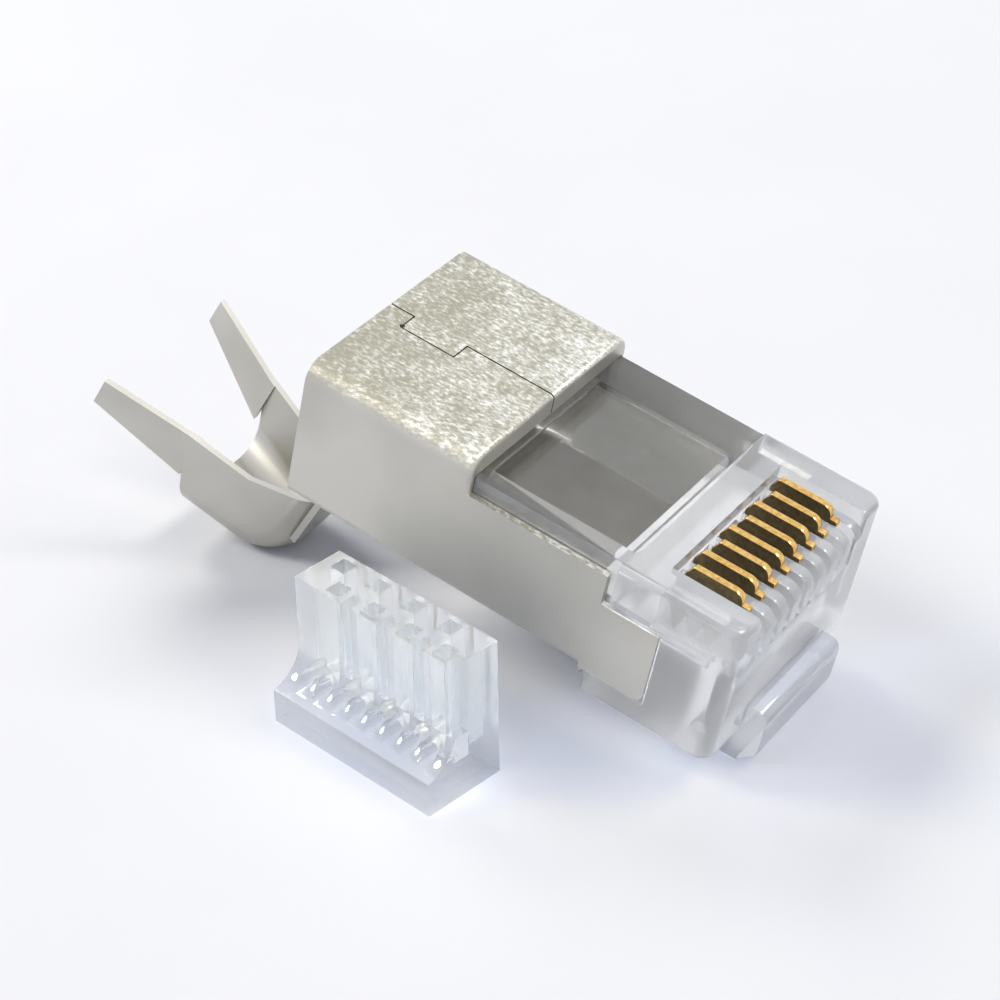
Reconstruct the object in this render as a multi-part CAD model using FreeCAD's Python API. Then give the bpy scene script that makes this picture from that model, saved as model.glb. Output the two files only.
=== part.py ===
import FreeCAD, Part
import math
import os
from FreeCAD import Vector

# Shielded modular plug with eight contacts, a folded metal shield that ends in a two-pronged
# crimp tail, a sprung latch, and the wire-guide bar that belongs in its rear cavity.
# Every piece is first drawn in the plug's own axes, in millimetres:
#   x across, y to the rear, z up; the nose spans NOSE_FRONT_Y..NOSE_Y and NOSE_LOW_Z..NOSE_TOP_Z.
# The plug then pitches nose-down, because it stands on its latch root and on its crimp tail.
# Row frame: origin at the centre of the nose's front face, +Z up, +Y to the rear.

os.makedirs("parts", exist_ok=True)

# ---- driving dimensions: nose and clear housing --------------------------------------------
PITCH_DEG = 12.67           # how far the nose dips when the plug stands by itself
NOSE_W = 11.68              # nose width
NOSE_FRONT_Y = -0.25        # nose's front face
NOSE_TOP_Z = 6.45
NOSE_LOW_Z = -0.38          # nose's underside
NOSE_Y = 5.5                # rear end of the nose block, where the window starts
NOSE_CORNER_R = 0.7         # upright front corners
NOSE_SIDE_R = 0.3           # long top edges beside the contacts
FOOT_Y = 5.85               # rear end of the full-width foot strips
FOOT_TOP_Z = 0.55           # top of the foot strips, under the shield's lower edge
WINDOW_DEPTH = 0.75         # recess in the top between nose and raised box
WINDOW_FLOOR_T = 0.3        # clear floor of that recess, over the guide-bar pocket
RAIL_W = 0.85               # flat top of each side rail beside the window
RAIL_SLOPE = 0.7            # width of the rail's sloped inner wall
FLOAT_GAP = 0.05            # clearance between housing and shield, blades and slots
OVERRUN = 1.0               # how far cutting shapes run past what they cut

# ---- driving dimensions: metal shield ------------------------------------------------------
SHEET = 0.3                 # sheet thickness
SHIELD_REAR_Y = 20.9
BOX_FRONT_Y = 12.6          # front edge of the raised box
BOX_TOP_Z = 7.45
BOX_EDGE_R = 0.85           # long top edges
BELLY_EDGE_R = 0.5          # long bottom edges
FLOOR_EDGE_R = 0.2          # housing's long bottom edges inside the shield
LIP_EDGE_R = 0.22           # round of the turned-down lip
SIDE_TOP_Z = 5.7            # side wall height beside the window
CHEEK_TOP_Z = 4.25          # side wall height beside the nose
CHEEK_FRONT_Y = 3.1
CHEEK_CORNER_R = 0.5
SEAM_W = 0.07               # gap of the interlocking top seam
SEAM_TAB_FRONT_Y = 17.0
SEAM_TAB_REAR_Y = 19.7
SEAM_TAB_REACH = 1.0        # how far the far half's tab reaches over the centre line
SEAM_NOTCH = 0.12           # relief at the tab's rear corner

# ---- driving dimensions: crimp tail ---------------------------------------------------------
NECK_HALF_W = 1.7
NECK_DROP_DEG = 70.0        # the neck falls at this angle from the shield's floor
TAIL_RISE_DEG = 20.0        # cradle and prongs rise again at this angle
CRADLE_BEND_R = 2.6         # outer radius of the bend under the cradle
CRADLE_LOW_Y = 25.0         # where that bend is centred
CRADLE_RIM_Z = -3.45        # level rim of the cradle's walls
CRADLE_REAR_Y = 28.1
CRADLE_HALF_W = 3.05        # half width at the cradle's rear end
CRADLE_BELLY_R = 1.5        # round between the cradle's floor and walls
PRONG_TIP_Y = 31.9
PRONG_TIP_HALF_W = 4.25
PRONG_ROOT_H = 2.4
PRONG_TIP_H = 1.4
PRONG_OVERLAP = 0.6         # prong root that runs inside the cradle's wall
PRONG_INSET = 0.18          # root half width less than the cradle's, which is wider at its end

# ---- driving dimensions: contacts ------------------------------------------------------------
CONTACTS = 8
CONTACT_PITCH = 1.02
BLADE_T = 0.34
BLADE_FRONT_Y = 0.95
BLADE_REAR_Y = 3.6
BLADE_TOP_Z = 6.5
BLADE_SHOULDER_R = 0.45
TOE_REACH = 0.33            # small toe ahead of the shoulder, just above the ribs
TOE_TOP_Z = 6.0
TOE_H = 0.3
BLADE_SHANK_Z = 5.2         # underside of the blade's head
BLADE_WEB = 0.2             # web between the head and the points
BLADE_REAR_RUN = 0.3        # length and drop of the sloped rear end
BLADE_REAR_DROP = 0.5
BLADE_POINT_INSET = 0.15    # the row of points starts this far in from both ends
BLADE_TIP_Z = 3.95          # points that pierce the wires
BLADE_POINTS = 3
BLADE_STAGGER = 0.22        # every second blade's rear end stands this much further back
RIB_TOP_Z = 5.82            # ribs between the blades, lower than the blades
RIB_FRONT_R = 0.65          # round front ends of the ribs
RIB_HALF_W = 4.3            # half width of the lowered field of ribs
RIB_REAR_Y = 3.95           # rear end of that field

# ---- driving dimensions: cavities in the housing ---------------------------------------------
WIRE_R = 0.46               # wire channel radius
WIRE_Z = 3.55
WIRE_FRONT_Y = 1.2
WIRE_SLOT_MARGIN = 0.2      # the flat slot behind the blades is this much wider than the wires
SLOT_FLOOR_Z = 4.0          # contact slots are open in front down to here
POCKET_FRONT_Y = 6.3        # guide-bar pocket
POCKET_REAR_Y = 13.9
POCKET_FIT = 0.1            # clearance all round the guide bar
ENTRY_WALL = 0.6            # wall of the cable entry behind the pocket
ENTRY_CORNER_R = 0.6
HOUSING_INSET = 0.8         # housing's rear end inside the shield's rear edge

# ---- driving dimensions: latch ---------------------------------------------------------------
LATCH_W = 6.1
ROOT_TOP_Z = 0.85           # the root rises this high ahead of the nose
LATCH_T = 0.8
LATCH_PIVOT_Y = 0.8
LATCH_PIVOT_Z = -0.4
LATCH_KNUCKLE_R = 0.5
LATCH_FRONT_Y = -1.27       # front of the bulging root
LATCH_LOW_Y = -0.45         # where the root is lowest
LATCH_LOW_Z = -2.15         # underside of the root
LATCH_BULGE_R = 0.5         # round of the bulging root
LATCH_SLOPE_DEG = 3.0       # the lever falls away from the body towards the rear
SHOULDER_Y = 7.3            # rear end of the wide part, which locks in a jack
TAB_W = 3.2
TAB_REAR_Y = 12.8
TAB_TIP_R = 0.32            # round of the thumb tab's end

# ---- driving dimensions: wire-guide bar --------------------------------------------------------
BAR_W = 9.05                # along the row of wires
BAR_D = 4.0                 # foot depth
BAR_H = 6.55
BAR_BLOCK_D = 2.5           # depth of the upper block
BAR_FLUTE_D = 0.8           # depth of the upright flutes between the front row's lobes
BAR_END_STEP = 0.45         # the block steps back over this width at its nose end
BAR_FOOT_TOP_Z = 1.6
BAR_BLOCK_Z = 3.0           # where the wedge meets the block's front
BAR_RAMP_SAG = 0.3          # how far the ramp between them is hollowed
BAR_HOLE = 0.78             # square wire holes
BAR_FLUTE_W = 0.55
BAR_BACK_ROW_Y = 0.65       # back row of holes, in from the back
BAR_FRONT_ROW_Y = 0.6       # front row of holes, in from the block's front
BAR_HOLE_FLOOR_Z = 1.6      # the holes turn forward here into round grooves
BAR_GROOVE_Z = 2.1          # grooves that lead the wires out over the foot
BAR_CENTRE_X = -9.97        # where it stands beside the plug, in the row frame
BAR_CENTRE_Y = 13.4
BAR_TURN_DEG = -10.5

PITCH = math.radians(PITCH_DEG)
HALF_W = NOSE_W / 2
NOSE_MID_Z = (NOSE_TOP_Z + NOSE_LOW_Z) / 2
INNER_HALF_W = HALF_W - SHEET - FLOAT_GAP
HOUSING_FLOOR_Z = FOOT_TOP_Z + SHEET + FLOAT_GAP
HOUSING_REAR_Y = SHIELD_REAR_Y - HOUSING_INSET
HOUSING_TOP_Z = BOX_TOP_Z - SHEET - FLOAT_GAP


# ---- small helpers ---------------------------------------------------------------------------
def box(x0, x1, y0, y1, z0, z1):
    return Part.makeBox(x1 - x0, y1 - y0, z1 - z0, Vector(x0, y0, z0))


def face_of(points):
    return Part.Face(Part.makePolygon(points + [points[0]]))


def across(outline, x0, x1):
    """Extrude a (y, z) outline along x."""
    return face_of([Vector(x0, y, z) for y, z in outline]).extrude(Vector(x1 - x0, 0, 0))


def along(outline, y0, y1):
    """Extrude an (x, z) outline along y."""
    return face_of([Vector(x, y0, z) for x, z in outline]).extrude(Vector(0, y1 - y0, 0))


def upright(outline, z0, z1):
    """Extrude an (x, y) outline along z."""
    return face_of([Vector(x, y, z0) for x, y in outline]).extrude(Vector(0, 0, z1 - z0))


def rod_x(y, z, radius, x0, x1):
    return Part.makeCylinder(radius, x1 - x0, Vector(x0, y, z), Vector(1, 0, 0))


def rod_y(x, z, radius, y0, y1):
    return Part.makeCylinder(radius, y1 - y0, Vector(x, y0, z), Vector(0, 1, 0))


def rounded(shape, radius, wanted):
    """Fillet the straight edges for which wanted(middle, direction) is true."""
    picked = []
    for edge in shape.Edges:
        if len(edge.Vertexes) != 2:
            continue
        start, end = (v.Point for v in edge.Vertexes)
        run = end - start
        if run.Length < 1e-6 or not isinstance(edge.Curve, Part.Line):
            continue
        if wanted((start + end) * 0.5, run.normalize()):
            picked.append(edge)
    return shape.makeFillet(radius, picked)


def near(a, b, tolerance=1e-3):
    return abs(a - b) < tolerance


def round_tube(half_w, z0, z1, top_r, low_r, y0, y1):
    """Box along y with its four long edges rounded."""
    tube = box(-half_w, half_w, y0, y1, z0, z1)
    tube = rounded(tube, top_r, lambda m, d: abs(d.y) > 0.9 and near(m.z, z1))
    return rounded(tube, low_r, lambda m, d: abs(d.y) > 0.9 and near(m.z, z0))


def mirrored(shape):
    return shape.mirror(Vector(0, 0, 0), Vector(1, 0, 0))


def both_sides(shape):
    return shape.fuse(mirrored(shape))


def pitched(shape):
    """From the plug's own axes to the row frame."""
    shape = shape.copy()
    shape.translate(Vector(0, -NOSE_FRONT_Y, -NOSE_MID_Z))
    shape.rotate(Vector(0, 0, 0), Vector(1, 0, 0), PITCH_DEG)
    return shape


def row_height(y, z):
    """Row-frame height of a point given in the plug's own axes."""
    return (y - NOSE_FRONT_Y) * math.sin(PITCH) + (z - NOSE_MID_Z) * math.cos(PITCH)


def write(name, shape):
    shape = shape.removeSplitter()
    if len(shape.Solids) == 1:
        shape = shape.Solids[0]
    print(name, "valid", shape.isValid(), "solids", len(shape.Solids), "volume %.3f" % shape.Volume)
    shape.exportStep("parts/%s.step" % name)


# ---- latch -------------------------------------------------------------------------------------
def latch_line(y, drop):
    """Height of the sloping lever at y, drop below its upper face."""
    slope = math.tan(math.radians(LATCH_SLOPE_DEG))
    return LATCH_LOW_Z + LATCH_T - drop - slope * (y - LATCH_LOW_Y)


def root():
    """Bulging root that turns in the nose's seat and stands out ahead of the nose."""
    behind_y = LATCH_PIVOT_Y + LATCH_KNUCKLE_R
    face_y, top_z = NOSE_FRONT_Y - FLOAT_GAP, NOSE_LOW_Z - FLOAT_GAP
    low_z = LATCH_LOW_Z + LATCH_T
    bulge = across([(LATCH_FRONT_Y, ROOT_TOP_Z), (face_y, ROOT_TOP_Z), (face_y, top_z), (behind_y, top_z),
                    (behind_y + LATCH_T / 2, latch_line(behind_y + LATCH_T / 2, 0)),
                    (behind_y, latch_line(behind_y, LATCH_T)), (LATCH_LOW_Y, LATCH_LOW_Z),
                    (LATCH_FRONT_Y, low_z)], -LATCH_W / 2, LATCH_W / 2)
    bulge = rounded(bulge, LATCH_BULGE_R, lambda m, d: abs(d.x) > 0.9 and near(m.y, LATCH_FRONT_Y))
    return bulge.fuse(rod_x(LATCH_PIVOT_Y, LATCH_PIVOT_Z, LATCH_KNUCKLE_R, -LATCH_W / 2, LATCH_W / 2))


def latch():
    """Root, wide lever up to its shoulders, and the narrow thumb tab behind them."""
    parts = root()
    overlap = LATCH_T / 2
    for half_w, y0, y1 in ((LATCH_W / 2, LATCH_PIVOT_Y, SHOULDER_Y),
                           (TAB_W / 2, SHOULDER_Y - overlap, TAB_REAR_Y)):
        bar = across([(y0, latch_line(y0, 0)), (y1, latch_line(y1, 0)),
                      (y1, latch_line(y1, LATCH_T)), (y0, latch_line(y0, LATCH_T))], -half_w, half_w)
        parts = parts.fuse(bar)
    return rounded(parts, TAB_TIP_R, lambda m, d: abs(d.x) > 0.9 and near(m.y, TAB_REAR_Y))


# ---- metal shield ----------------------------------------------------------------------------------
def seam_gap():
    """Narrow gap where the two halves of the folded top interlock."""
    half, reach = SEAM_W / 2, -SEAM_TAB_REACH
    over = SHEET
    z0, z1 = BOX_TOP_Z - 4 * SHEET, BOX_TOP_Z + over
    gap = box(-half, half, BOX_FRONT_Y - over, SEAM_TAB_FRONT_Y + half, z0, z1)
    gap = gap.fuse(box(reach - half, half, SEAM_TAB_FRONT_Y - half, SEAM_TAB_FRONT_Y + half, z0, z1))
    gap = gap.fuse(box(reach - half, reach + half, SEAM_TAB_FRONT_Y, SEAM_TAB_REAR_Y, z0, z1))
    gap = gap.fuse(box(reach - half, half, SEAM_TAB_REAR_Y - half, SEAM_TAB_REAR_Y + half, z0, z1))
    gap = gap.fuse(box(-half, half, SEAM_TAB_REAR_Y - half, SHIELD_REAR_Y + over, z0, z1))
    notch = Part.makeCylinder(SEAM_NOTCH, z1 - z0, Vector(reach + SEAM_NOTCH, SEAM_TAB_REAR_Y, z0))
    return gap.fuse(notch)


def shield_shell():
    z0 = FOOT_TOP_Z
    outer = round_tube(HALF_W, z0, BOX_TOP_Z, BOX_EDGE_R, BELLY_EDGE_R, FOOT_Y, SHIELD_REAR_Y)
    reach = HALF_W + OVERRUN
    above = box(-reach, reach, FOOT_Y - OVERRUN, BOX_FRONT_Y, SIDE_TOP_Z, BOX_TOP_Z + OVERRUN)
    outer = outer.cut(above)
    outer = outer.makeFillet(LIP_EDGE_R, [e for e in outer.Edges if is_lip_edge(e)])
    inner = round_tube(HALF_W - SHEET, z0 + SHEET, BOX_TOP_Z - SHEET, BOX_EDGE_R - SHEET,
                       BELLY_EDGE_R - SHEET, FOOT_Y - OVERRUN, SHIELD_REAR_Y + OVERRUN)
    lip_keep = box(-HALF_W, HALF_W, BOX_FRONT_Y, BOX_FRONT_Y + SHEET, NOSE_TOP_Z + FLOAT_GAP, BOX_TOP_Z)
    return outer.cut(inner.cut(lip_keep))


def is_lip_edge(edge):
    """Front rim of the raised box, above the side walls."""
    extent = edge.BoundBox
    level = near(extent.YMin, BOX_FRONT_Y) and near(extent.YMax, BOX_FRONT_Y)
    return level and extent.ZMax > SIDE_TOP_Z + SHEET / 3


def shield_cheek():
    """Flat side wall beside the nose, with a rounded lower front corner."""
    cheek = box(-HALF_W, -HALF_W + SHEET, CHEEK_FRONT_Y, FOOT_Y + SHEET, FOOT_TOP_Z + FLOAT_GAP, CHEEK_TOP_Z)
    cheek = rounded(cheek, CHEEK_CORNER_R,
                    lambda m, d: abs(d.x) > 0.9 and near(m.y, CHEEK_FRONT_Y) and m.z < CHEEK_TOP_Z / 2)
    return both_sides(cheek)


def cradle_centre():
    """Centre of the bend under the cradle: its lowest point touches the table."""
    rise = (CRADLE_LOW_Y - NOSE_FRONT_Y) * math.sin(PITCH)
    return CRADLE_LOW_Y, NOSE_MID_Z + (table_height() + CRADLE_BEND_R - rise) / math.cos(PITCH)


def table_height():
    """The table under the latch root, in the row frame."""
    return row_height(LATCH_LOW_Y, latch_line(LATCH_LOW_Y, LATCH_T))


def tail_point(centre, radius, heading_deg):
    """Point of the bend where it runs at this heading, seen from the side."""
    heading = math.radians(heading_deg)
    return centre[0] + radius * math.sin(heading), centre[1] - radius * math.cos(heading)


def tail_section(inset):
    """Side outline of the cradle, its walls and floor moved in by inset."""
    centre = cradle_centre()
    radius = CRADLE_BEND_R - inset
    drop, rise = math.radians(NECK_DROP_DEG), math.radians(TAIL_RISE_DEG)
    start = tail_point(centre, radius, -NECK_DROP_DEG)
    low = tail_point(centre, radius, (TAIL_RISE_DEG - NECK_DROP_DEG) / 2)
    end = tail_point(centre, radius, TAIL_RISE_DEG)
    run = CRADLE_REAR_Y + inset - end[0]
    rear = (end[0] + run, end[1] + run * math.tan(rise))
    climb = CRADLE_RIM_Z + inset - start[1]
    front = (start[0] - climb / math.tan(drop), start[1] + climb)
    return front, start, low, end, rear


def side_face(inset, x):
    front, start, low, end, rear = tail_section(inset)
    v = lambda p: Vector(x, p[0], p[1])
    knee_y = CRADLE_LOW_Y
    top_rear = (rear[0], CRADLE_RIM_Z + inset + (rear[0] - knee_y) * math.tan(math.radians(TAIL_RISE_DEG)))
    knee = (knee_y, CRADLE_RIM_Z + inset)
    edges = [Part.LineSegment(v(front), v(start)).toShape(),
             Part.Arc(v(start), v(low), v(end)).toShape(),
             Part.LineSegment(v(end), v(rear)).toShape(),
             Part.LineSegment(v(rear), v(top_rear)).toShape(),
             Part.LineSegment(v(top_rear), v(knee)).toShape(),
             Part.LineSegment(v(knee), v(front)).toShape()]
    return Part.Face(Part.Wire(edges))


def scoop(inset):
    """Tapered scoop with a rounded belly; inset shrinks it by the sheet thickness."""
    reach = HALF_W
    body = side_face(inset, -reach).extrude(Vector(2 * reach, 0, 0))
    front_y = tail_section(0)[0][0] - OVERRUN
    flare = (CRADLE_HALF_W - NECK_HALF_W) / (CRADLE_REAR_Y - tail_section(0)[0][0])
    narrow = NECK_HALF_W - flare * OVERRUN - inset
    rear_y = CRADLE_REAR_Y + OVERRUN
    wide = CRADLE_HALF_W + flare * OVERRUN - inset
    plan = upright([(-narrow, front_y), (narrow, front_y), (wide, rear_y), (-wide, rear_y)],
                   CRADLE_RIM_Z - 2 * HALF_W, CRADLE_RIM_Z + HALF_W)
    body = body.common(plan)
    belly = [e for e in body.Edges if is_belly_edge(e, inset)]
    return body.makeFillet(CRADLE_BELLY_R - inset, belly)


def is_belly_edge(edge, inset):
    """Long lower edges of the scoop, on both sides: neck, bend and floor."""
    if edge.BoundBox.XMax * edge.BoundBox.XMin <= 0:
        return False
    middle = edge.valueAt((edge.FirstParameter + edge.LastParameter) / 2)
    _, start, _, end, _ = tail_section(inset)
    centre = cradle_centre()
    on_bend = near(math.hypot(middle.y - centre[0], middle.z - centre[1]), CRADLE_BEND_R - inset)
    drop, rise = math.tan(math.radians(NECK_DROP_DEG)), math.tan(math.radians(TAIL_RISE_DEG))
    on_neck = near(middle.z, start[1] - (middle.y - start[0]) * drop)
    on_floor = near(middle.z, end[1] + (middle.y - end[0]) * rise)
    return on_bend or on_neck or on_floor


def neck():
    """Strip that leaves the shield's floor and bends down into the scoop."""
    front, start, _, _, _ = tail_section(0)
    drop = math.radians(NECK_DROP_DEG)
    normal = (SHEET * math.sin(drop), SHEET * math.cos(drop))
    climb = FOOT_TOP_Z + SHEET - start[1]
    top = (start[0] - climb / math.tan(drop), FOOT_TOP_Z + SHEET)
    strip = across([top, start, (start[0] + normal[0], start[1] + normal[1]),
                    (top[0] + SHEET / math.sin(drop), top[1])], -NECK_HALF_W, NECK_HALF_W)
    floor = box(-NECK_HALF_W, NECK_HALF_W, top[0] - OVERRUN, SHIELD_REAR_Y, FOOT_TOP_Z, FOOT_TOP_Z + SHEET)
    return strip.fuse(floor)


def prong():
    """One upright crimp prong: tapered in height, splayed outwards, rising to the rear."""
    rise = math.tan(math.radians(TAIL_RISE_DEG))
    rim = lambda y: CRADLE_RIM_Z + (y - CRADLE_LOW_Y) * rise
    root_y = CRADLE_REAR_Y - PRONG_OVERLAP
    sections = []
    for y, half_w, height in ((root_y, CRADLE_HALF_W - PRONG_INSET, PRONG_ROOT_H),
                              (PRONG_TIP_Y, PRONG_TIP_HALF_W, PRONG_TIP_H)):
        lean = height * math.sin(math.radians(TAIL_RISE_DEG))
        sections.append(Part.makePolygon([
            Vector(-half_w, y, rim(y)), Vector(-half_w + SHEET, y, rim(y)),
            Vector(-half_w + SHEET, y + lean, rim(y) - height),
            Vector(-half_w, y + lean, rim(y) - height), Vector(-half_w, y, rim(y))]))
    return Part.makeLoft(sections, True, True)


def metal_shield():
    shield = shield_shell().fuse(shield_cheek()).cut(seam_gap())
    cradle = scoop(0).cut(scoop(SHEET))
    return shield.fuse(neck()).fuse(cradle).fuse(both_sides(prong()))


# ---- contacts -------------------------------------------------------------------------------------
def contact_x(index):
    return (index - (CONTACTS - 1) / 2) * CONTACT_PITCH


def contact(index):
    """Blade with a toe, a rounded front shoulder, a sloped rear end and sharp points below."""
    rear_y = BLADE_REAR_Y + (BLADE_STAGGER if index % 2 else 0.0)
    toe_y, web_z = BLADE_FRONT_Y - TOE_REACH, BLADE_SHANK_Z - BLADE_WEB
    outline = [(BLADE_FRONT_Y, BLADE_SHANK_Z), (BLADE_FRONT_Y, TOE_TOP_Z - TOE_H), (toe_y, TOE_TOP_Z - TOE_H),
               (toe_y, TOE_TOP_Z), (BLADE_FRONT_Y, TOE_TOP_Z), (BLADE_FRONT_Y, BLADE_TOP_Z),
               (rear_y - BLADE_REAR_RUN, BLADE_TOP_Z), (rear_y, BLADE_TOP_Z - BLADE_REAR_DROP),
               (rear_y, BLADE_SHANK_Z)]
    tooth = (rear_y - BLADE_FRONT_Y - 2 * BLADE_POINT_INSET) / BLADE_POINTS
    for step in range(BLADE_POINTS):
        tooth_y = rear_y - BLADE_POINT_INSET - step * tooth
        outline += [(tooth_y, web_z), (tooth_y - tooth / 2, BLADE_TIP_Z)]
    outline.append((BLADE_FRONT_Y + BLADE_POINT_INSET, web_z))
    x = contact_x(index)
    blade = across(outline, x - BLADE_T / 2, x + BLADE_T / 2)
    return rounded(blade, BLADE_SHOULDER_R,
                   lambda m, d: abs(d.x) > 0.9 and near(m.y, BLADE_FRONT_Y) and near(m.z, BLADE_TOP_Z))


# ---- clear housing ----------------------------------------------------------------------------------
def housing_block():
    """Solid outside of the housing: nose, shoulders, feet, window section and rear box."""
    front = NOSE_FRONT_Y
    rear_y = BOX_FRONT_Y + SHEET + FLOAT_GAP
    nose = box(-HALF_W, HALF_W, front, CHEEK_FRONT_Y - FLOAT_GAP, NOSE_LOW_Z, NOSE_TOP_Z)
    nose = nose.fuse(box(-INNER_HALF_W, INNER_HALF_W, front, FOOT_Y, NOSE_LOW_Z,
                         HOUSING_FLOOR_Z + OVERRUN))
    nose = nose.fuse(box(-HALF_W, HALF_W, front, NOSE_Y, CHEEK_TOP_Z + FLOAT_GAP, NOSE_TOP_Z))
    nose = nose.fuse(box(-HALF_W, HALF_W, front, FOOT_Y - FLOAT_GAP, NOSE_LOW_Z, FOOT_TOP_Z))
    middle = box(-INNER_HALF_W, INNER_HALF_W, front, rear_y, HOUSING_FLOOR_Z, NOSE_TOP_Z)
    rear = round_tube(INNER_HALF_W, HOUSING_FLOOR_Z, HOUSING_TOP_Z, BOX_EDGE_R - SHEET, FLOOR_EDGE_R,
                      rear_y, HOUSING_REAR_Y)
    block = nose.fuse(middle).fuse(rear).removeSplitter()
    block = rounded(block, NOSE_CORNER_R, lambda m, d: abs(d.z) > 0.9 and near(m.y, front))
    block = rounded(block, NOSE_SIDE_R, lambda m, d: abs(d.y) > 0.9 and near(m.z, NOSE_TOP_Z)
                    and near(abs(m.x), HALF_W))
    return block


def rib_field():
    """Lowered field around the blades, open in front, over the round ends of the ribs."""
    front, above = NOSE_FRONT_Y, NOSE_TOP_Z + OVERRUN
    turn = RIB_FRONT_R * (1 - math.sqrt(0.5))
    v = lambda y, z: Vector(-RIB_HALF_W, y, z)
    start, end = v(front, RIB_TOP_Z - RIB_FRONT_R), v(front + RIB_FRONT_R, RIB_TOP_Z)
    over = Part.Arc(start, v(front + turn, RIB_TOP_Z - turn), end).toShape()
    rest = Part.makePolygon([end, v(RIB_REAR_Y, RIB_TOP_Z), v(RIB_REAR_Y, above), v(front - OVERRUN, above),
                             v(front - OVERRUN, RIB_TOP_Z - RIB_FRONT_R), start])
    return Part.Face(Part.Wire([over] + rest.Edges)).extrude(Vector(2 * RIB_HALF_W, 0, 0))


def window_cut():
    top, floor = NOSE_TOP_Z, NOSE_TOP_Z - WINDOW_DEPTH
    edge = INNER_HALF_W - RAIL_W
    y0, y1 = NOSE_Y, BOX_FRONT_Y + FLOAT_GAP
    return along([(-edge, top + OVERRUN), (edge, top + OVERRUN), (edge, top), (edge - RAIL_SLOPE, floor),
                  (-edge + RAIL_SLOPE, floor), (-edge, top)], y0, y1)


def guide_pocket():
    """Space that the wire-guide bar slides into."""
    half_w = BAR_W / 2 + POCKET_FIT
    top = NOSE_TOP_Z - WINDOW_DEPTH - WINDOW_FLOOR_T
    return box(-half_w, half_w, POCKET_FRONT_Y, POCKET_REAR_Y, top - BAR_D - 2 * POCKET_FIT, top)


def cable_entry():
    half_w = INNER_HALF_W - ENTRY_WALL
    entry = box(-half_w, half_w, BOX_FRONT_Y + SHEET + ENTRY_WALL, HOUSING_REAR_Y + OVERRUN,
                HOUSING_FLOOR_Z + ENTRY_WALL / 2, HOUSING_TOP_Z - ENTRY_WALL)
    return rounded(entry, ENTRY_CORNER_R, lambda m, d: abs(d.y) > 0.9)


def wire_channels():
    """Round wire channels under the blades, their slots, and the flat slot behind them."""
    rear_y = BLADE_REAR_Y + BLADE_STAGGER + FLOAT_GAP
    front_y, above = NOSE_FRONT_Y - OVERRUN, NOSE_TOP_Z + OVERRUN
    half_w = -contact_x(0) + WIRE_R + WIRE_SLOT_MARGIN
    tools = [box(-half_w, half_w, rear_y, POCKET_FRONT_Y + FLOAT_GAP, WIRE_Z - WIRE_R, WIRE_Z + WIRE_R)]
    for index in range(CONTACTS):
        x = contact_x(index)
        half = BLADE_T / 2 + FLOAT_GAP
        tools.append(rod_y(x, WIRE_Z, WIRE_R, WIRE_FRONT_Y, rear_y + FLOAT_GAP))
        tools.append(box(x - half, x + half, front_y, rear_y, SLOT_FLOOR_Z, above))
        tools.append(box(x - half, x + half, WIRE_FRONT_Y, rear_y, WIRE_Z, above))
    return tools


def latch_seat():
    """Round seat that the latch's root turns in."""
    half_w = LATCH_W / 2 + FLOAT_GAP
    return rod_x(LATCH_PIVOT_Y, LATCH_PIVOT_Z, LATCH_KNUCKLE_R + FLOAT_GAP, -half_w, half_w)


def housing():
    shape = housing_block().cut(window_cut()).cut(rib_field())
    shape = shape.cut(guide_pocket().fuse(cable_entry()))
    shape = shape.cut(latch_seat())
    for tool in wire_channels():
        shape = shape.cut(tool)
    return shape


# ---- wire-guide bar -----------------------------------------------------------------------------------
def bar_outline():
    """End profile of the bar: wedge foot, hollow ramp and upright block."""
    back, front = BAR_D / 2, -BAR_D / 2
    block_front = back - BAR_BLOCK_D
    v = lambda y, z: Vector(-BAR_W / 2, y, z)
    low, high = v(front, BAR_FOOT_TOP_Z), v(block_front, BAR_BLOCK_Z)
    inwards = (high - low).cross(Vector(1, 0, 0)).normalize()
    ramp = Part.Arc(low, (low + high) * 0.5 + inwards * BAR_RAMP_SAG, high).toShape()
    corners = [v(block_front, BAR_BLOCK_Z), v(block_front, BAR_H), v(back, BAR_H), v(back, 0),
               v(front, 0), v(front, BAR_FOOT_TOP_Z)]
    return Part.Face(Part.Wire([ramp] + Part.makePolygon(corners).Edges))


def guide_bar():
    """Bar that stands on its wedge foot: two rows of wire holes, fluted front, grooved ramp."""
    front, back = -BAR_D / 2, BAR_D / 2
    block_front = back - BAR_BLOCK_D
    side = BAR_HOLE / 2
    bar = bar_outline().extrude(Vector(BAR_W, 0, 0))
    step_x = BAR_W / 2 - BAR_END_STEP
    above = BAR_H + OVERRUN
    cuts = [box(step_x, BAR_W / 2 + OVERRUN, front, block_front + BAR_FLUTE_D, BAR_BLOCK_Z, above)]
    for index in range(CONTACTS):
        x = contact_x(index)
        in_front_row = index % 2 == 1
        y = block_front + BAR_FRONT_ROW_Y if in_front_row else back - BAR_BACK_ROW_Y
        if index > 0 and not in_front_row:
            cuts.append(box(x - BAR_FLUTE_W / 2, x + BAR_FLUTE_W / 2, front, block_front + BAR_FLUTE_D,
                            BAR_BLOCK_Z, above))
        cuts.append(box(x - side, x + side, y - side, y + side, BAR_HOLE_FLOOR_Z, above))
        cuts.append(rod_y(x, BAR_GROOVE_Z, side, front - OVERRUN, y))
    for tool in cuts:
        bar = bar.cut(tool)
    return bar


def placed_bar():
    bar = guide_bar()
    bar.rotate(Vector(0, 0, 0), Vector(0, 0, 1), -90 + BAR_TURN_DEG)
    bar.translate(Vector(BAR_CENTRE_X, BAR_CENTRE_Y, table_height()))
    return bar


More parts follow.
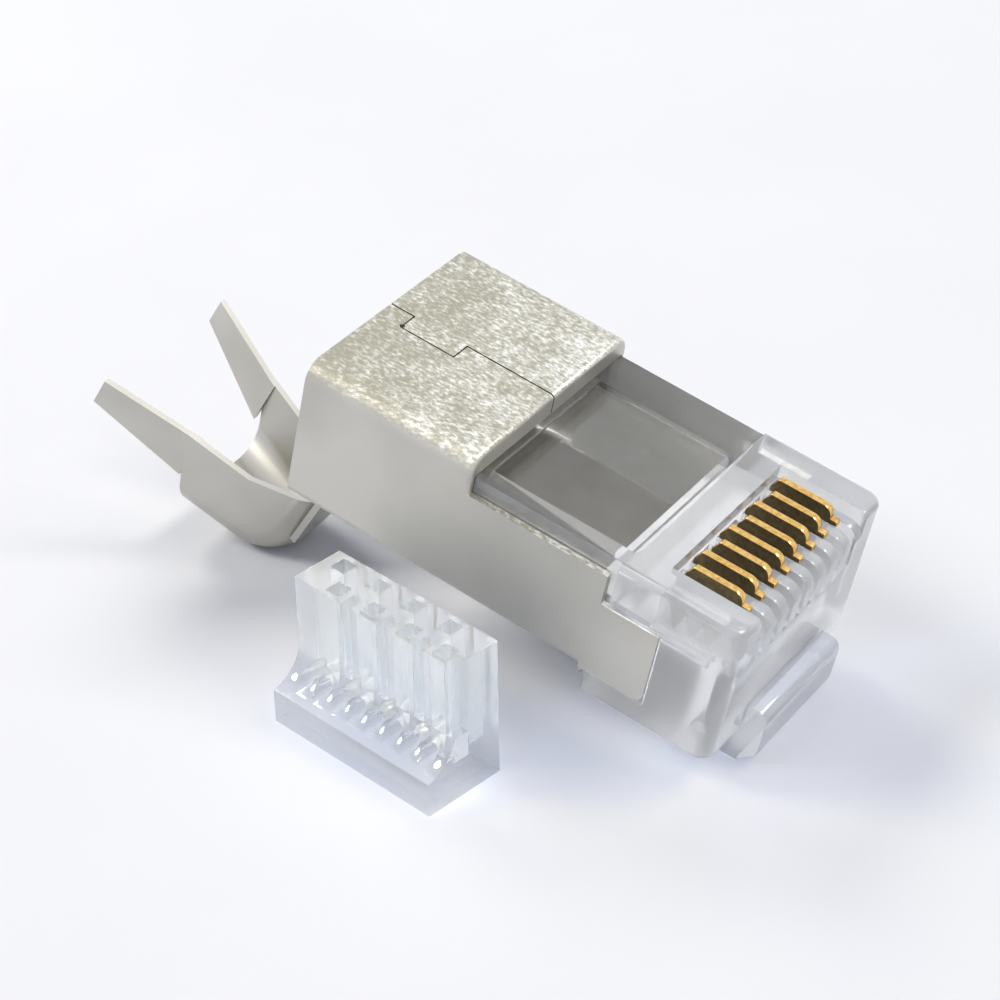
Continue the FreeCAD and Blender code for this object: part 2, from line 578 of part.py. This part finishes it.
write("metal_shield", pitched(metal_shield()))
write("housing", pitched(housing()))
write("latch", pitched(latch()))
for number in range(CONTACTS):
    write("contact_%d" % (number + 1), pitched(contact(number)))
write("wire_guide_bar", placed_bar())
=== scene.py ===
# %% [markdown]
# # A shielded modular plug, dressed for a close studio view
# The plug is a clear moulded housing inside a folded sheet-metal shield, with eight gilt contacts,
# a sprung latch underneath and a loose wire-guide bar beside it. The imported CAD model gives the
# bodies and their places. This lesson adds finishes, rounded edges, light, a table and a camera.

# %% Load the frame
import math

import bmesh
import bpy
from mathutils import Matrix, Vector


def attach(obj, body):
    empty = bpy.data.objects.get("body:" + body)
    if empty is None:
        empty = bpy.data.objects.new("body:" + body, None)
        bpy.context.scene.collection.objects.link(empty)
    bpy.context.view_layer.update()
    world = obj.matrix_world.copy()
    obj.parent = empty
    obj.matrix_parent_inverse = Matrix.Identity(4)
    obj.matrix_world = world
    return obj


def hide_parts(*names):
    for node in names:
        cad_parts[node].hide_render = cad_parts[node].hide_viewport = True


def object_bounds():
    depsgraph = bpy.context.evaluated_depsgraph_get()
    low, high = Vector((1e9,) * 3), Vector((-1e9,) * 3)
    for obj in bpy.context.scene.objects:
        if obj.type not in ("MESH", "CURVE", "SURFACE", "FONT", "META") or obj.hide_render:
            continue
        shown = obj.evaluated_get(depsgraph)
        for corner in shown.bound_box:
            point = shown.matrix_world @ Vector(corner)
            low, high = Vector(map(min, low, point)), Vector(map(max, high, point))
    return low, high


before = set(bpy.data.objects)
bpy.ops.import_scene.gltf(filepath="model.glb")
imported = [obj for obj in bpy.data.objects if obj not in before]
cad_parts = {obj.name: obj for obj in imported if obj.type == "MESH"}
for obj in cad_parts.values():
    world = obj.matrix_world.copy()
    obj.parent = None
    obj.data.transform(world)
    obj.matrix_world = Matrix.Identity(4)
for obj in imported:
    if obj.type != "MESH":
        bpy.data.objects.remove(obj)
cad_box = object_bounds()
MM = 0.001

# %% [markdown]
# ## The camera
# A long lens from the front left and above, about 12 cm away, makes the plug look as it does to
# someone who leans over it. It is made from an azimuth, an elevation and a small roll.

# %% Camera
AZIMUTH, ELEVATION, ROLL = -55.786, 33.903, -0.913
EYE_MM = (-87.896, -45.408, 72.441)
LENS_MM, SENSOR_MM = 109.09, 36.0

camera_data = bpy.data.cameras.new("studio_camera")
camera_data.lens, camera_data.sensor_width = LENS_MM, SENSOR_MM
camera_data.clip_start, camera_data.clip_end = 0.005, 20.0
camera = bpy.data.objects.new("studio_camera", camera_data)
bpy.context.collection.objects.link(camera)
turn = Matrix.Rotation(math.radians(AZIMUTH), 4, "Z")
tilt = Matrix.Rotation(math.radians(90 - ELEVATION), 4, "X")
roll = Matrix.Rotation(math.radians(ROLL), 4, "Z")
camera.matrix_world = Matrix.Translation(Vector(EYE_MM) * MM) @ turn @ tilt @ roll
bpy.context.scene.camera = camera
bpy.context.scene.view_settings.view_transform = "Standard"
print("camera at", EYE_MM, "mm, lens", LENS_MM, "mm")

# %% [markdown]
# ## Helpers for colours and nodes
# Colours are written as sRGB hex values, as in a paint chart, and turned to linear once. One
# helper adds a shader node with its settings and its links.

# %% Colour and node helpers
def linear(hex_value):
    """sRGB hex such as "C8CCD2" to a linear RGBA tuple."""
    channels = [int(hex_value[i:i + 2], 16) / 255 for i in (0, 2, 4)]
    spread = [c / 12.92 if c <= 0.04045 else ((c + 0.055) / 1.055) ** 2.4 for c in channels]
    return (*spread, 1.0)


def add(material, kind, settings=None, values=None, links=None, stops=()):
    """Add one node: settings are its properties, values its inputs, links input -> source."""
    node = material.node_tree.nodes.new(kind)
    for key, value in (settings or {}).items():
        setattr(node, key, value)
    for key, value in (values or {}).items():
        node.inputs[key].default_value = value
    for key, source in (links or {}).items():
        material.node_tree.links.new(source, node.inputs[key])
    for index, (position, hex_value) in enumerate(stops):
        elements = node.color_ramp.elements
        element = elements[index] if index < len(elements) else elements.new(position)
        element.position, element.color = position, linear(hex_value)
    return node


def new_material(name):
    """Material with an empty node tree, its output and its object coordinates."""
    material = bpy.data.materials.new(name)
    material.use_nodes = True
    material.node_tree.nodes.clear()
    output = add(material, "ShaderNodeOutputMaterial")
    place = add(material, "ShaderNodeTexCoord").outputs["Object"]
    return material, output, place


print("white is", linear("FFFFFF"))

# %% [markdown]
# ## Where the plug's top faces
# The plug stands on its latch root and its crimp tail, so it dips towards the nose. Two finishes
# differ between the top and the sides, and they find the top by its normal.

# %% The plug's own directions
PITCH = math.radians(12.67)
PLUG_UP = (0.0, -math.sin(PITCH), math.cos(PITCH))
PLUG_REARWARD = (0.0, math.cos(PITCH), math.sin(PITCH))
print("top normal", [round(part, 3) for part in PLUG_UP])

# %% [markdown]
# ## Clear polycarbonate
# The housing, latch and guide bar are injection-moulded polycarbonate: a hard clear plastic with an
# index of refraction of 1.585. Moulding leaves faint flow lines that bend the view and a thin haze
# that scatters a little light, so what is inside looks soft and pale and never black. The haze is
# the part of the shader that is not transmission, with some roughness; a smooth coat over it keeps
# the outer skin glossy. Light passes, so the shadow is pale.

# %% Polycarbonate
POLYCARBONATE_IOR = 1.585
FLOW_LINES_PER_M = 260.0        # flow lines about 4 mm apart
RIPPLE_PER_M = 1100.0           # fine ripple about 1 mm across
RIPPLE_SHARE = 0.35             # how much the ripple counts beside the flow lines
FLOW_DEPTH, FLOW_STRENGTH = 0.0001, 0.08
SKIN_ROUGHNESS = 0.03           # roughness of the glossy coat


def polycarbonate(name, haze, transmission, roughness, coat, shade_hex):
    """Clear moulded plastic: haze is its clearest and milkiest tone, shade_hex tints its shadow."""
    material, output, place = new_material(name)
    flow = add(material, "ShaderNodeTexNoise", values={"Scale": FLOW_LINES_PER_M, "Detail": 2.0},
               links={"Vector": place})
    ripple = add(material, "ShaderNodeTexNoise", values={"Scale": RIPPLE_PER_M, "Detail": 1.0},
                 links={"Vector": place})
    waves = add(material, "ShaderNodeMath", {"operation": "MULTIPLY_ADD"}, {1: RIPPLE_SHARE},
                {0: ripple.outputs["Fac"], 2: flow.outputs["Fac"]})
    bump = add(material, "ShaderNodeBump",
               values={"Strength": FLOW_STRENGTH, "Distance": FLOW_DEPTH},
               links={"Height": waves.outputs["Value"]})
    tone = add(material, "ShaderNodeValToRGB", links={"Fac": ripple.outputs["Fac"]},
               stops=[(0.35, haze[0]), (0.75, haze[1])])
    shader = add(material, "ShaderNodeBsdfPrincipled",
                 values={"Roughness": roughness, "IOR": POLYCARBONATE_IOR, "Coat Weight": coat,
                         "Transmission Weight": transmission, "Coat Roughness": SKIN_ROUGHNESS},
                 links={"Base Color": tone.outputs["Color"], "Normal": bump.outputs["Normal"]})
    passing = add(material, "ShaderNodeBsdfTransparent", values={"Color": linear(shade_hex)})
    rays = add(material, "ShaderNodeLightPath")
    both = add(material, "ShaderNodeMixShader",
               links={"Fac": rays.outputs["Is Shadow Ray"], 1: shader.outputs["BSDF"],
                      2: passing.outputs["BSDF"]})
    material.node_tree.links.new(both.outputs["Shader"], output.inputs["Surface"])
    print("made", name, "transmission", transmission)
    return material


clear_plastic = polycarbonate("polycarbonate_moulded", haze=("FEFEFD", "F8F9F9"), transmission=0.77,
                              roughness=0.16, coat=0.6, shade_hex="CDD3E2")
window_plastic = polycarbonate("polycarbonate_window", haze=("FCFBF4", "F5F3EA"), transmission=0.97,
                               roughness=0.03, coat=0.0, shade_hex="D2D7E4")
bar_plastic = polycarbonate("polycarbonate_bar", haze=("FDFFFF", "F8FCFF"), transmission=0.82,
                            roughness=0.09, coat=0.6, shade_hex="F0F2F8")

# %% [markdown]
# ## Nickel-plated sheet steel
# The shield is stamped from thin steel strip and plated with nickel: a warm grey metal. The folding
# tool leaves the top finely hammered, while the sides and the crimp tail stay satin. The top's
# colour
# also carries painted glints: the highest hammer marks are painted near white, more of them towards
# the front of the top. A normal along the plug's own up direction finds the top, and the place
# along the plug keeps the finish off the tail.

# %% Nickel plate
HAMMER_PER_M = 7000.0           # hammer marks about 0.15 mm
GRAIN_PER_M = 9000.0            # plating grain, drawn at 0.1 mm: the real one is too fine to show
PATCH_PER_M = 700.0             # worn patches about 1.5 mm
CLOUD_PER_M = 150.0             # slow change of tone over 6-7 mm
SHELL_REAR = 0.0212             # the shell ends here, along the plug; the satin tail is behind it
TAIL_BLEND = 0.0002
TOP_FROM, TOP_FULL = 0.3, 0.75  # how far a face looks up where the top finish starts, and is full
SATIN_ROUGHNESS, TOP_ROUGHNESS = 0.46, 0.36
PATCH_SHARE, GRAIN_SHARE = 0.25, 0.12   # how much each counts beside the hammer marks
DENT_DEPTH, DENT_STRENGTH = 0.00005, 0.42
TO_REAR = (-0.35, 1.0, 0.0)     # the way in which the painted glints of the top get fewer
MOST_GLINTS_AT, FEWEST_GLINTS_AT = 0.008, 0.021    # metres that way: most painted glints, fewest painted glints
MORE_GLINTS, FEWER_GLINTS = 0.08, -0.05
DRAWN_OUT = (1.0, 0.45, 1.0)    # the marks are drawn out along the plug


def nickel_plate():
    """Plated sheet: satin on the sides, finely hammered on the top, with painted glints there."""
    material, output, place = new_material("steel_sheet_nickel_plated")
    normal = material.node_tree.nodes["Texture Coordinate"].outputs["Normal"]
    facing = add(material, "ShaderNodeVectorMath", {"operation": "DOT_PRODUCT"}, {1: PLUG_UP},
                 {0: normal})
    upward = add(material, "ShaderNodeMapRange",
                 values={"From Min": TOP_FROM, "From Max": TOP_FULL},
                 links={"Value": facing.outputs["Value"]})
    along = add(material, "ShaderNodeVectorMath", {"operation": "DOT_PRODUCT"}, {1: PLUG_REARWARD},
                {0: place})
    on_shell = add(material, "ShaderNodeMapRange",
                   values={"From Min": SHELL_REAR, "From Max": SHELL_REAR + TAIL_BLEND,
                           "To Min": 1.0, "To Max": 0.0},
                   links={"Value": along.outputs["Value"]})
    on_top = add(material, "ShaderNodeMath", {"operation": "MULTIPLY"},
                 links={0: upward.outputs["Result"], 1: on_shell.outputs["Result"]})
    drawn = add(material, "ShaderNodeMapping", values={"Scale": DRAWN_OUT}, links={"Vector": place})
    marks = add(material, "ShaderNodeTexNoise",
                values={"Scale": HAMMER_PER_M, "Detail": 6.0, "Roughness": 0.66},
                links={"Vector": drawn.outputs["Vector"]})
    grain = add(material, "ShaderNodeTexNoise", values={"Scale": GRAIN_PER_M, "Detail": 2.0},
                links={"Vector": place})
    cloud = add(material, "ShaderNodeTexNoise", values={"Scale": CLOUD_PER_M, "Detail": 2.0},
                links={"Vector": place})
    satin = add(material, "ShaderNodeValToRGB", links={"Fac": cloud.outputs["Fac"]},
                stops=[(0.35, "BAB8B1"), (0.65, "CBC9C2")])
    patches = add(material, "ShaderNodeTexNoise", values={"Scale": PATCH_PER_M, "Detail": 3.0},
                  links={"Vector": place})
    worn = add(material, "ShaderNodeMath", {"operation": "MULTIPLY_ADD"}, {1: PATCH_SHARE},
               {0: patches.outputs["Fac"], 2: marks.outputs["Fac"]})
    # Painted glints gather towards the front of the top: this shift lifts more hammer marks there
    # into the painted near-white.
    rearward = add(material, "ShaderNodeVectorMath", {"operation": "DOT_PRODUCT"}, {1: TO_REAR},
                   {0: place})
    painted_glint_gathering = add(material, "ShaderNodeMapRange",
                  values={"From Min": MOST_GLINTS_AT, "From Max": FEWEST_GLINTS_AT,
                          "To Min": MORE_GLINTS, "To Max": FEWER_GLINTS},
                  links={"Value": rearward.outputs["Value"]})
    glints = add(material, "ShaderNodeMath", {"operation": "ADD"},
                 links={0: worn.outputs["Value"], 1: painted_glint_gathering.outputs["Result"]})
    # The top's tone: random hammer marks and patches, with the highest ones painted near white as
    # glints.
    hammered = add(material, "ShaderNodeValToRGB", links={"Fac": glints.outputs["Value"]},
                   stops=[(0.54, "B1AD9A"), (0.67, "D3D0C1"), (0.79, "FFFEF8")])
    colour = add(material, "ShaderNodeMix", {"data_type": "RGBA"},
                 links={0: on_top.outputs["Value"], 6: satin.outputs["Color"],
                        7: hammered.outputs["Color"]})
    gloss = add(material, "ShaderNodeMapRange",
                values={"To Min": SATIN_ROUGHNESS, "To Max": TOP_ROUGHNESS},
                links={"Value": on_top.outputs["Value"]})
    pits = add(material, "ShaderNodeMath", {"operation": "MULTIPLY"},
               links={0: marks.outputs["Fac"], 1: on_top.outputs["Value"]})
    relief = add(material, "ShaderNodeMath", {"operation": "MULTIPLY_ADD"}, {1: GRAIN_SHARE},
                 {0: grain.outputs["Fac"], 2: pits.outputs["Value"]})
    bump = add(material, "ShaderNodeBump",
               values={"Strength": DENT_STRENGTH, "Distance": DENT_DEPTH},
               links={"Height": relief.outputs["Value"]})
    shader = add(material, "ShaderNodeBsdfPrincipled", values={"Metallic": 1.0},
                 links={"Base Color": colour.outputs[2], "Roughness": gloss.outputs["Result"],
                        "Normal": bump.outputs["Normal"]})
    material.node_tree.links.new(shader.outputs["BSDF"], output.inputs["Surface"])
    print("made", material.name)
    return material


nickel = nickel_plate()

# %% [markdown]
# ## The dull inside of the sheet, painted dark for shade
# Inside the shell the plating is thin and dull, and its colour is painted a dark grey for the shade
# inside the shell, so what is seen through the window is an even dark grey. It is a second, plainer
# material for those faces of the same mesh, because it needs neither the hammer marks nor the
# glints.

# %% Dull plating with painted shade
GRAIN_DEPTH, GRAIN_STRENGTH = 0.00005, 0.06
DULL_ROUGHNESS = 0.5


def dull_plating_with_painted_shade():
    """Inside of the sheet: thin dull plating, painted dark and even for the shade inside the shell.
    """
    material, output, place = new_material("steel_sheet_dull_with_painted_shade")
    cloud = add(material, "ShaderNodeTexNoise", values={"Scale": CLOUD_PER_M, "Detail": 2.0},
                links={"Vector": place})
    grain = add(material, "ShaderNodeTexNoise", values={"Scale": GRAIN_PER_M, "Detail": 2.0},
                links={"Vector": place})
    # Painted shade: a dark grey that stands for the shade inside the shell.
    tone = add(material, "ShaderNodeValToRGB", links={"Fac": cloud.outputs["Fac"]},
               stops=[(0.35, "49422E"), (0.65, "564D37")])
    bump = add(material, "ShaderNodeBump",
               values={"Strength": GRAIN_STRENGTH, "Distance": GRAIN_DEPTH},
               links={"Height": grain.outputs["Fac"]})
    shader = add(material, "ShaderNodeBsdfPrincipled",
                 values={"Metallic": 1.0, "Roughness": DULL_ROUGHNESS},
                 links={"Base Color": tone.outputs["Color"], "Normal": bump.outputs["Normal"]})
    material.node_tree.links.new(shader.outputs["BSDF"], output.inputs["Surface"])
    print("made", material.name)
    return material


inside_painted_shade = dull_plating_with_painted_shade()

# %% [markdown]
# ## Gold-plated bronze
# Each contact is a stamped phosphor-bronze blade. The crown that touches the jack is plated with
# polished gold. The sheared sides carry almost none and are bronze, and their colour is painted
# dark for the shade in the narrow gaps between the blades. Contacts like these commonly have a grey
# nickel underplate, and the shank and its points are given only that. The side is found by its
# normal, the shank by its height.

# %% Gold plate
SHANK_TOP = 0.0020              # the gold ends here, above the middle of the nose
GOLD_FADE = 0.0003
STREAK_PER_M = 5000.0           # wipe marks about 0.2 mm
SIDE_FROM, SIDE_FULL = 0.72, 0.93   # how far a face looks sideways: gold thins and painted shade starts, gold is gone and shade is full
ACROSS = (1.0, 0.0, 0.0)
GOLD_ROUGHNESS, BRONZE_ROUGHNESS = 0.16, 0.5
STREAK_DEPTH, STREAK_STRENGTH = 0.00001, 0.15
UNDERPLATE = "DADBD8"           # pale grey nickel


def gold_plate():
    """Polished gold crown, sheared sides painted dark for shade, grey nickel underplate on the
    shank.
    """
    material, output, place = new_material("phosphor_bronze_gold_plated")
    normal = material.node_tree.nodes["Texture Coordinate"].outputs["Normal"]
    across = add(material, "ShaderNodeVectorMath", {"operation": "DOT_PRODUCT"}, {1: ACROSS},
                 {0: normal})
    sheared = add(material, "ShaderNodeMath", {"operation": "ABSOLUTE"},
                  links={0: across.outputs["Value"]})
    streak = add(material, "ShaderNodeTexNoise", values={"Scale": STREAK_PER_M, "Detail": 3.0},
                 links={"Vector": place})
    polished = add(material, "ShaderNodeValToRGB", links={"Fac": streak.outputs["Fac"]},
                   stops=[(0.3, "E2AC50"), (0.7, "F8D48C")])
    # Painted shade: the sheared sides' bronze is painted dark for the shade between the blades.
    bronze_with_painted_shade = add(material, "ShaderNodeValToRGB", links={"Fac": streak.outputs["Fac"]},
                 stops=[(0.3, "6B5E45"), (0.7, "837454")])
    bare_and_shaded = add(material, "ShaderNodeMapRange",
               values={"From Min": SIDE_FROM, "From Max": SIDE_FULL},
               links={"Value": sheared.outputs["Value"]})
    colour = add(material, "ShaderNodeMix", {"data_type": "RGBA"},
                 links={0: bare_and_shaded.outputs["Result"], 6: polished.outputs["Color"],
                        7: bronze_with_painted_shade.outputs["Color"]})
    height = add(material, "ShaderNodeVectorMath", {"operation": "DOT_PRODUCT"}, {1: PLUG_UP},
                 {0: place})
    gilt = add(material, "ShaderNodeMapRange",
               values={"From Min": SHANK_TOP, "From Max": SHANK_TOP + GOLD_FADE},
               links={"Value": height.outputs["Value"]})
    metal = add(material, "ShaderNodeMix", {"data_type": "RGBA"}, {6: linear(UNDERPLATE)},
                {0: gilt.outputs["Result"], 7: colour.outputs[2]})
    rough = add(material, "ShaderNodeMapRange",
                values={"To Min": GOLD_ROUGHNESS, "To Max": BRONZE_ROUGHNESS},
                links={"Value": bare_and_shaded.outputs["Result"]})
    bump = add(material, "ShaderNodeBump",
               values={"Strength": STREAK_STRENGTH, "Distance": STREAK_DEPTH},
               links={"Height": streak.outputs["Fac"]})
    shader = add(material, "ShaderNodeBsdfPrincipled", values={"Metallic": 1.0},
                 links={"Base Color": metal.outputs[2], "Roughness": rough.outputs["Result"],
                        "Normal": bump.outputs["Normal"]})
    material.node_tree.links.new(shader.outputs["BSDF"], output.inputs["Surface"])
    print("made", material.name)
    return material


gold = gold_plate()

# %% [markdown]
# ## Rounded working copies
# A CAD solid comes as loose triangles with knife-sharp edges. A real stamped or moulded edge has
# a small radius that catches the light. Each solid is copied, its doubles are merged, and a
# narrow bevel rounds what is sharp. The copy replaces the plain solid. A bevel cuts outer edges
# back but fills inside corners, so the latch gets the smallest one: a wider round at its root
# would run into the housing as the latch bends.

# %% Copy, merge and bevel
MERGE_WITHIN = 1e-7             # metres: doubles of the loose triangles
FLAT_WITHIN_DEG = 0.5           # faces this flat to each other become one
ROUND_OVER_DEG = 35             # edges sharper than this are rounded
SMOOTH_UNDER_DEG = 32           # edges blunter than this are shaded smooth


def dressed(node_name, name, body, material, radius_mm):
    """Copy of a CAD node with merged doubles and softly rounded sharp edges."""
    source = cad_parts[node_name]
    piece = source.copy()
    piece.data = source.data.copy()
    piece.name = piece.data.name = name
    bpy.context.collection.objects.link(piece)
    piece.parent = None
    piece.matrix_world = Matrix.Identity(4)
    mesh = bmesh.new()
    mesh.from_mesh(piece.data)
    bmesh.ops.remove_doubles(mesh, verts=mesh.verts, dist=MERGE_WITHIN)
    bmesh.ops.dissolve_limit(mesh, angle_limit=math.radians(FLAT_WITHIN_DEG), verts=mesh.verts,
                             edges=mesh.edges)
    mesh.to_mesh(piece.data)
    mesh.free()
    bpy.ops.object.select_all(action="DESELECT")
    piece.select_set(True)
    bpy.context.view_layer.objects.active = piece
    bevel = piece.modifiers.new("edge_round", "BEVEL")
    bevel.width, bevel.segments = radius_mm * MM, 2
    bevel.limit_method, bevel.angle_limit = "ANGLE", math.radians(ROUND_OVER_DEG)
    bevel.use_clamp_overlap = True
    bpy.ops.object.modifier_apply(modifier="edge_round")
    bpy.ops.object.shade_smooth_by_angle(angle=math.radians(SMOOTH_UNDER_DEG))
    flat = piece.modifiers.new("flat_faces_stay_flat", "WEIGHTED_NORMAL")
    flat.weight, flat.keep_sharp = 100, True
    bpy.ops.object.modifier_apply(modifier="flat_faces_stay_flat")
    piece.data.materials.clear()
    piece.data.materials.append(material)
    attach(piece, body)
    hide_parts(node_name)
    print(name, "faces", len(piece.data.polygons))
    return piece


shield = dressed("metal_shield", "folded_shield", "plug", nickel, 0.07)
clear_body = dressed("housing", "clear_housing", "plug", clear_plastic, 0.06)
dressed("latch", "sprung_latch", "latch_lever", clear_plastic, 0.03)
dressed("wire_guide_bar", "guide_bar", "plug", bar_plastic, 0.05)
for number in range(1, 9):
    dressed("contact_%d" % number, "gilt_contact_%d" % number, "plug", gold, 0.04)

# %% [markdown]
# ## Second finishes on the same mesh
# The faces of the shield that look at the shell's own axis are its inside and get the dull plating
# painted dark for shade. The housing behind the nose is its window section, taken here as moulded
# against a polished core: it gets the clearest plastic, so that the metal under it, painted dark,
# shows dark. The rails beside it and the outer underside keep the haze. Both finishes are picked by
# place and normal along the plug.

# %% Inside of the shield, and the window
SHELL_AXIS_Z = 0.001            # height of the shell's axis above the nose's centre
WINDOW_FRONT = 0.0058           # the window section starts here
RAIL_INNER = 0.0046             # the rails beside the window stand further out than this
BELLY_Z = -0.003                # the outer underside lies below this and keeps its haze


def finish_where(piece, material, wanted):
    """Give the material to the faces for which wanted(place, normal) is true, along the plug."""
    piece.data.materials.append(material)
    to_plug = Matrix.Rotation(-PITCH, 3, "X")
    picked = [face for face in piece.data.polygons
              if wanted(to_plug @ face.center, to_plug @ face.normal)]
    for face in picked:
        face.material_index = len(piece.data.materials) - 1
    print(material.name, "on", len(picked), "of", len(piece.data.polygons), "faces")


def faces_the_axis(place, normal):
    to_axis = Vector((-place.x, 0.0, SHELL_AXIS_Z - place.z))
    return place.y < SHELL_REAR and abs(normal.y) < 0.5 and normal.dot(to_axis) > 0


def in_the_window(place, normal):
    return place.y > WINDOW_FRONT and abs(place.x) < RAIL_INNER and place.z > BELLY_Z


# The shield's inside gets the plating painted dark for shade.
finish_where(shield, inside_painted_shade, faces_the_axis)
finish_where(clear_body, window_plastic, in_the_window)

# %% [markdown]
# ## The table
# A plain white table keeps the soft shadows. It is a disc that reaches more than a metre. Further
# out than the shadows it fades into the white of the room, so that a low view shows no dark band
# where the lamps no longer reach. That white is only seen: it adds no light to the plug.

# %% Table
TABLE_RADIUS = 1.2
TABLE_CENTRE_Y = 0.012          # under the plug
ROLLER_PER_M = 60.0             # roller marks about 17 mm apart
FADE_START, FADE_END = 0.12, 0.5    # metres from the plug, well outside its shadows
ROOM_WHITE = "F6F8FE"


def table_white():
    """Matt white paint on board, with the faint tooth that a roller leaves."""
    material, output, place = new_material("board_painted_matt_white")
    tooth = add(material, "ShaderNodeTexNoise", values={"Scale": ROLLER_PER_M, "Detail": 3.0},
                links={"Vector": place})
    colour = add(material, "ShaderNodeValToRGB", links={"Fac": tooth.outputs["Fac"]},
                 stops=[(0.3, "EEF0F6"), (0.7, "F1F3F8")])
    paint = add(material, "ShaderNodeBsdfPrincipled",
                values={"Roughness": 0.9, "Specular IOR Level": 0.2},
                links={"Base Color": colour.outputs["Color"]})
    reach = add(material, "ShaderNodeVectorMath", {"operation": "LENGTH"}, links={0: place})
    far = add(material, "ShaderNodeMapRange", values={"From Min": FADE_START, "From Max": FADE_END},
              links={"Value": reach.outputs["Value"]})
    rays = add(material, "ShaderNodeLightPath")
    direct = add(material, "ShaderNodeMath", {"operation": "MAXIMUM"},
                 links={0: rays.outputs["Is Camera Ray"], 1: rays.outputs["Is Transmission Ray"]})
    seen = add(material, "ShaderNodeMath", {"operation": "MAXIMUM"},
               links={0: rays.outputs["Is Glossy Ray"], 1: direct.outputs["Value"]})
    share = add(material, "ShaderNodeMath", {"operation": "MULTIPLY"},
                links={0: far.outputs["Result"], 1: seen.outputs["Value"]})
    backdrop = add(material, "ShaderNodeEmission", values={"Color": linear(ROOM_WHITE)})
    both = add(material, "ShaderNodeMixShader",
               links={0: share.outputs["Value"], 1: paint.outputs["BSDF"],
                      2: backdrop.outputs["Emission"]})
    material.node_tree.links.new(both.outputs["Shader"], output.inputs["Surface"])
    print("made", material.name)
    return material


bpy.ops.object.select_all(action="DESELECT")
bpy.ops.mesh.primitive_circle_add(vertices=128, radius=TABLE_RADIUS, fill_type="NGON",
                                  location=(0, TABLE_CENTRE_Y, cad_box[0][2]))
table = bpy.context.object
bpy.ops.object.transform_apply(location=True)
table.name = "table_top"
table.data.materials.append(table_white())
print("table at z = %.4f m" % cad_box[0][2])

# %% [markdown]
# ## Light
# Four broad warm lamps stand around the plug at 43 cm, as in a small light tent. Those on the left
# and behind throw the shadows to the right and towards the viewer, those on the right and in front
# throw the tail's shadow to the left. The room is pale blue: weak as fill light, which colours the
# shadows, and white where metal mirrors it or plastic shows it.

# %% Lamps and surroundings
AIM_MM = (0, 10, 0)
LAMP_SIZE_MM, LAMP_WHITE = 150, "FFFAF0"
ROOM_FILL, SHADOW_BLUE = 0.3, "DEE8FF"
LIGHT_BOUNCES = 24              # so that light gets through many clear walls


def soft_lamp(name, place_mm, watts):
    """Round lamp that looks at the middle of the plug."""
    lamp_data = bpy.data.lights.new(name, "AREA")
    lamp_data.shape, lamp_data.size = "DISK", LAMP_SIZE_MM * MM
    lamp_data.energy, lamp_data.color = watts, linear(LAMP_WHITE)[:3]
    lamp = bpy.data.objects.new(name, lamp_data)
    bpy.context.collection.objects.link(lamp)
    place, aim = Vector(place_mm) * MM, Vector(AIM_MM) * MM
    facing = (aim - place).to_track_quat("-Z", "Y").to_matrix().to_4x4()
    lamp.matrix_world = Matrix.Translation(place) @ facing
    print(name, "at", place_mm, "mm,", watts, "W")


soft_lamp("lamp_left", (-167, 281, 289), 0.81)
soft_lamp("lamp_behind", (147, 298, 283), 0.55)
soft_lamp("lamp_right", (153, -184, 352), 0.48)
soft_lamp("lamp_front", (35, -253, 339), 0.36)


def surroundings():
    """Pale room: weak as fill light, white where it is mirrored or seen through plastic."""
    world = bpy.data.worlds.new("pale_room")
    world.use_nodes = True
    bpy.context.scene.world = world
    backdrop = world.node_tree.nodes["Background"]
    rays = add(world, "ShaderNodeLightPath")
    direct = add(world, "ShaderNodeMath", {"operation": "MAXIMUM"},
                 links={0: rays.outputs["Is Camera Ray"], 1: rays.outputs["Is Transmission Ray"]})
    seen = add(world, "ShaderNodeMath", {"operation": "MAXIMUM"},
               links={0: rays.outputs["Is Glossy Ray"], 1: direct.outputs["Value"]})
    strength = add(world, "ShaderNodeMapRange", values={"To Min": ROOM_FILL, "To Max": 1.0},
                   links={"Value": seen.outputs["Value"]})
    tint = add(world, "ShaderNodeMix", {"data_type": "RGBA"},
               {6: linear(SHADOW_BLUE), 7: linear(ROOM_WHITE)}, {0: seen.outputs["Value"]})
    world.node_tree.links.new(strength.outputs["Result"], backdrop.inputs["Strength"])
    world.node_tree.links.new(tint.outputs[2], backdrop.inputs["Color"])
    print("room fill light", ROOM_FILL)


surroundings()
bpy.context.scene.cycles.max_bounces = LIGHT_BOUNCES
bpy.context.scene.cycles.transmission_bounces = LIGHT_BOUNCES
print("light set, light paths up to", LIGHT_BOUNCES, "bounces")
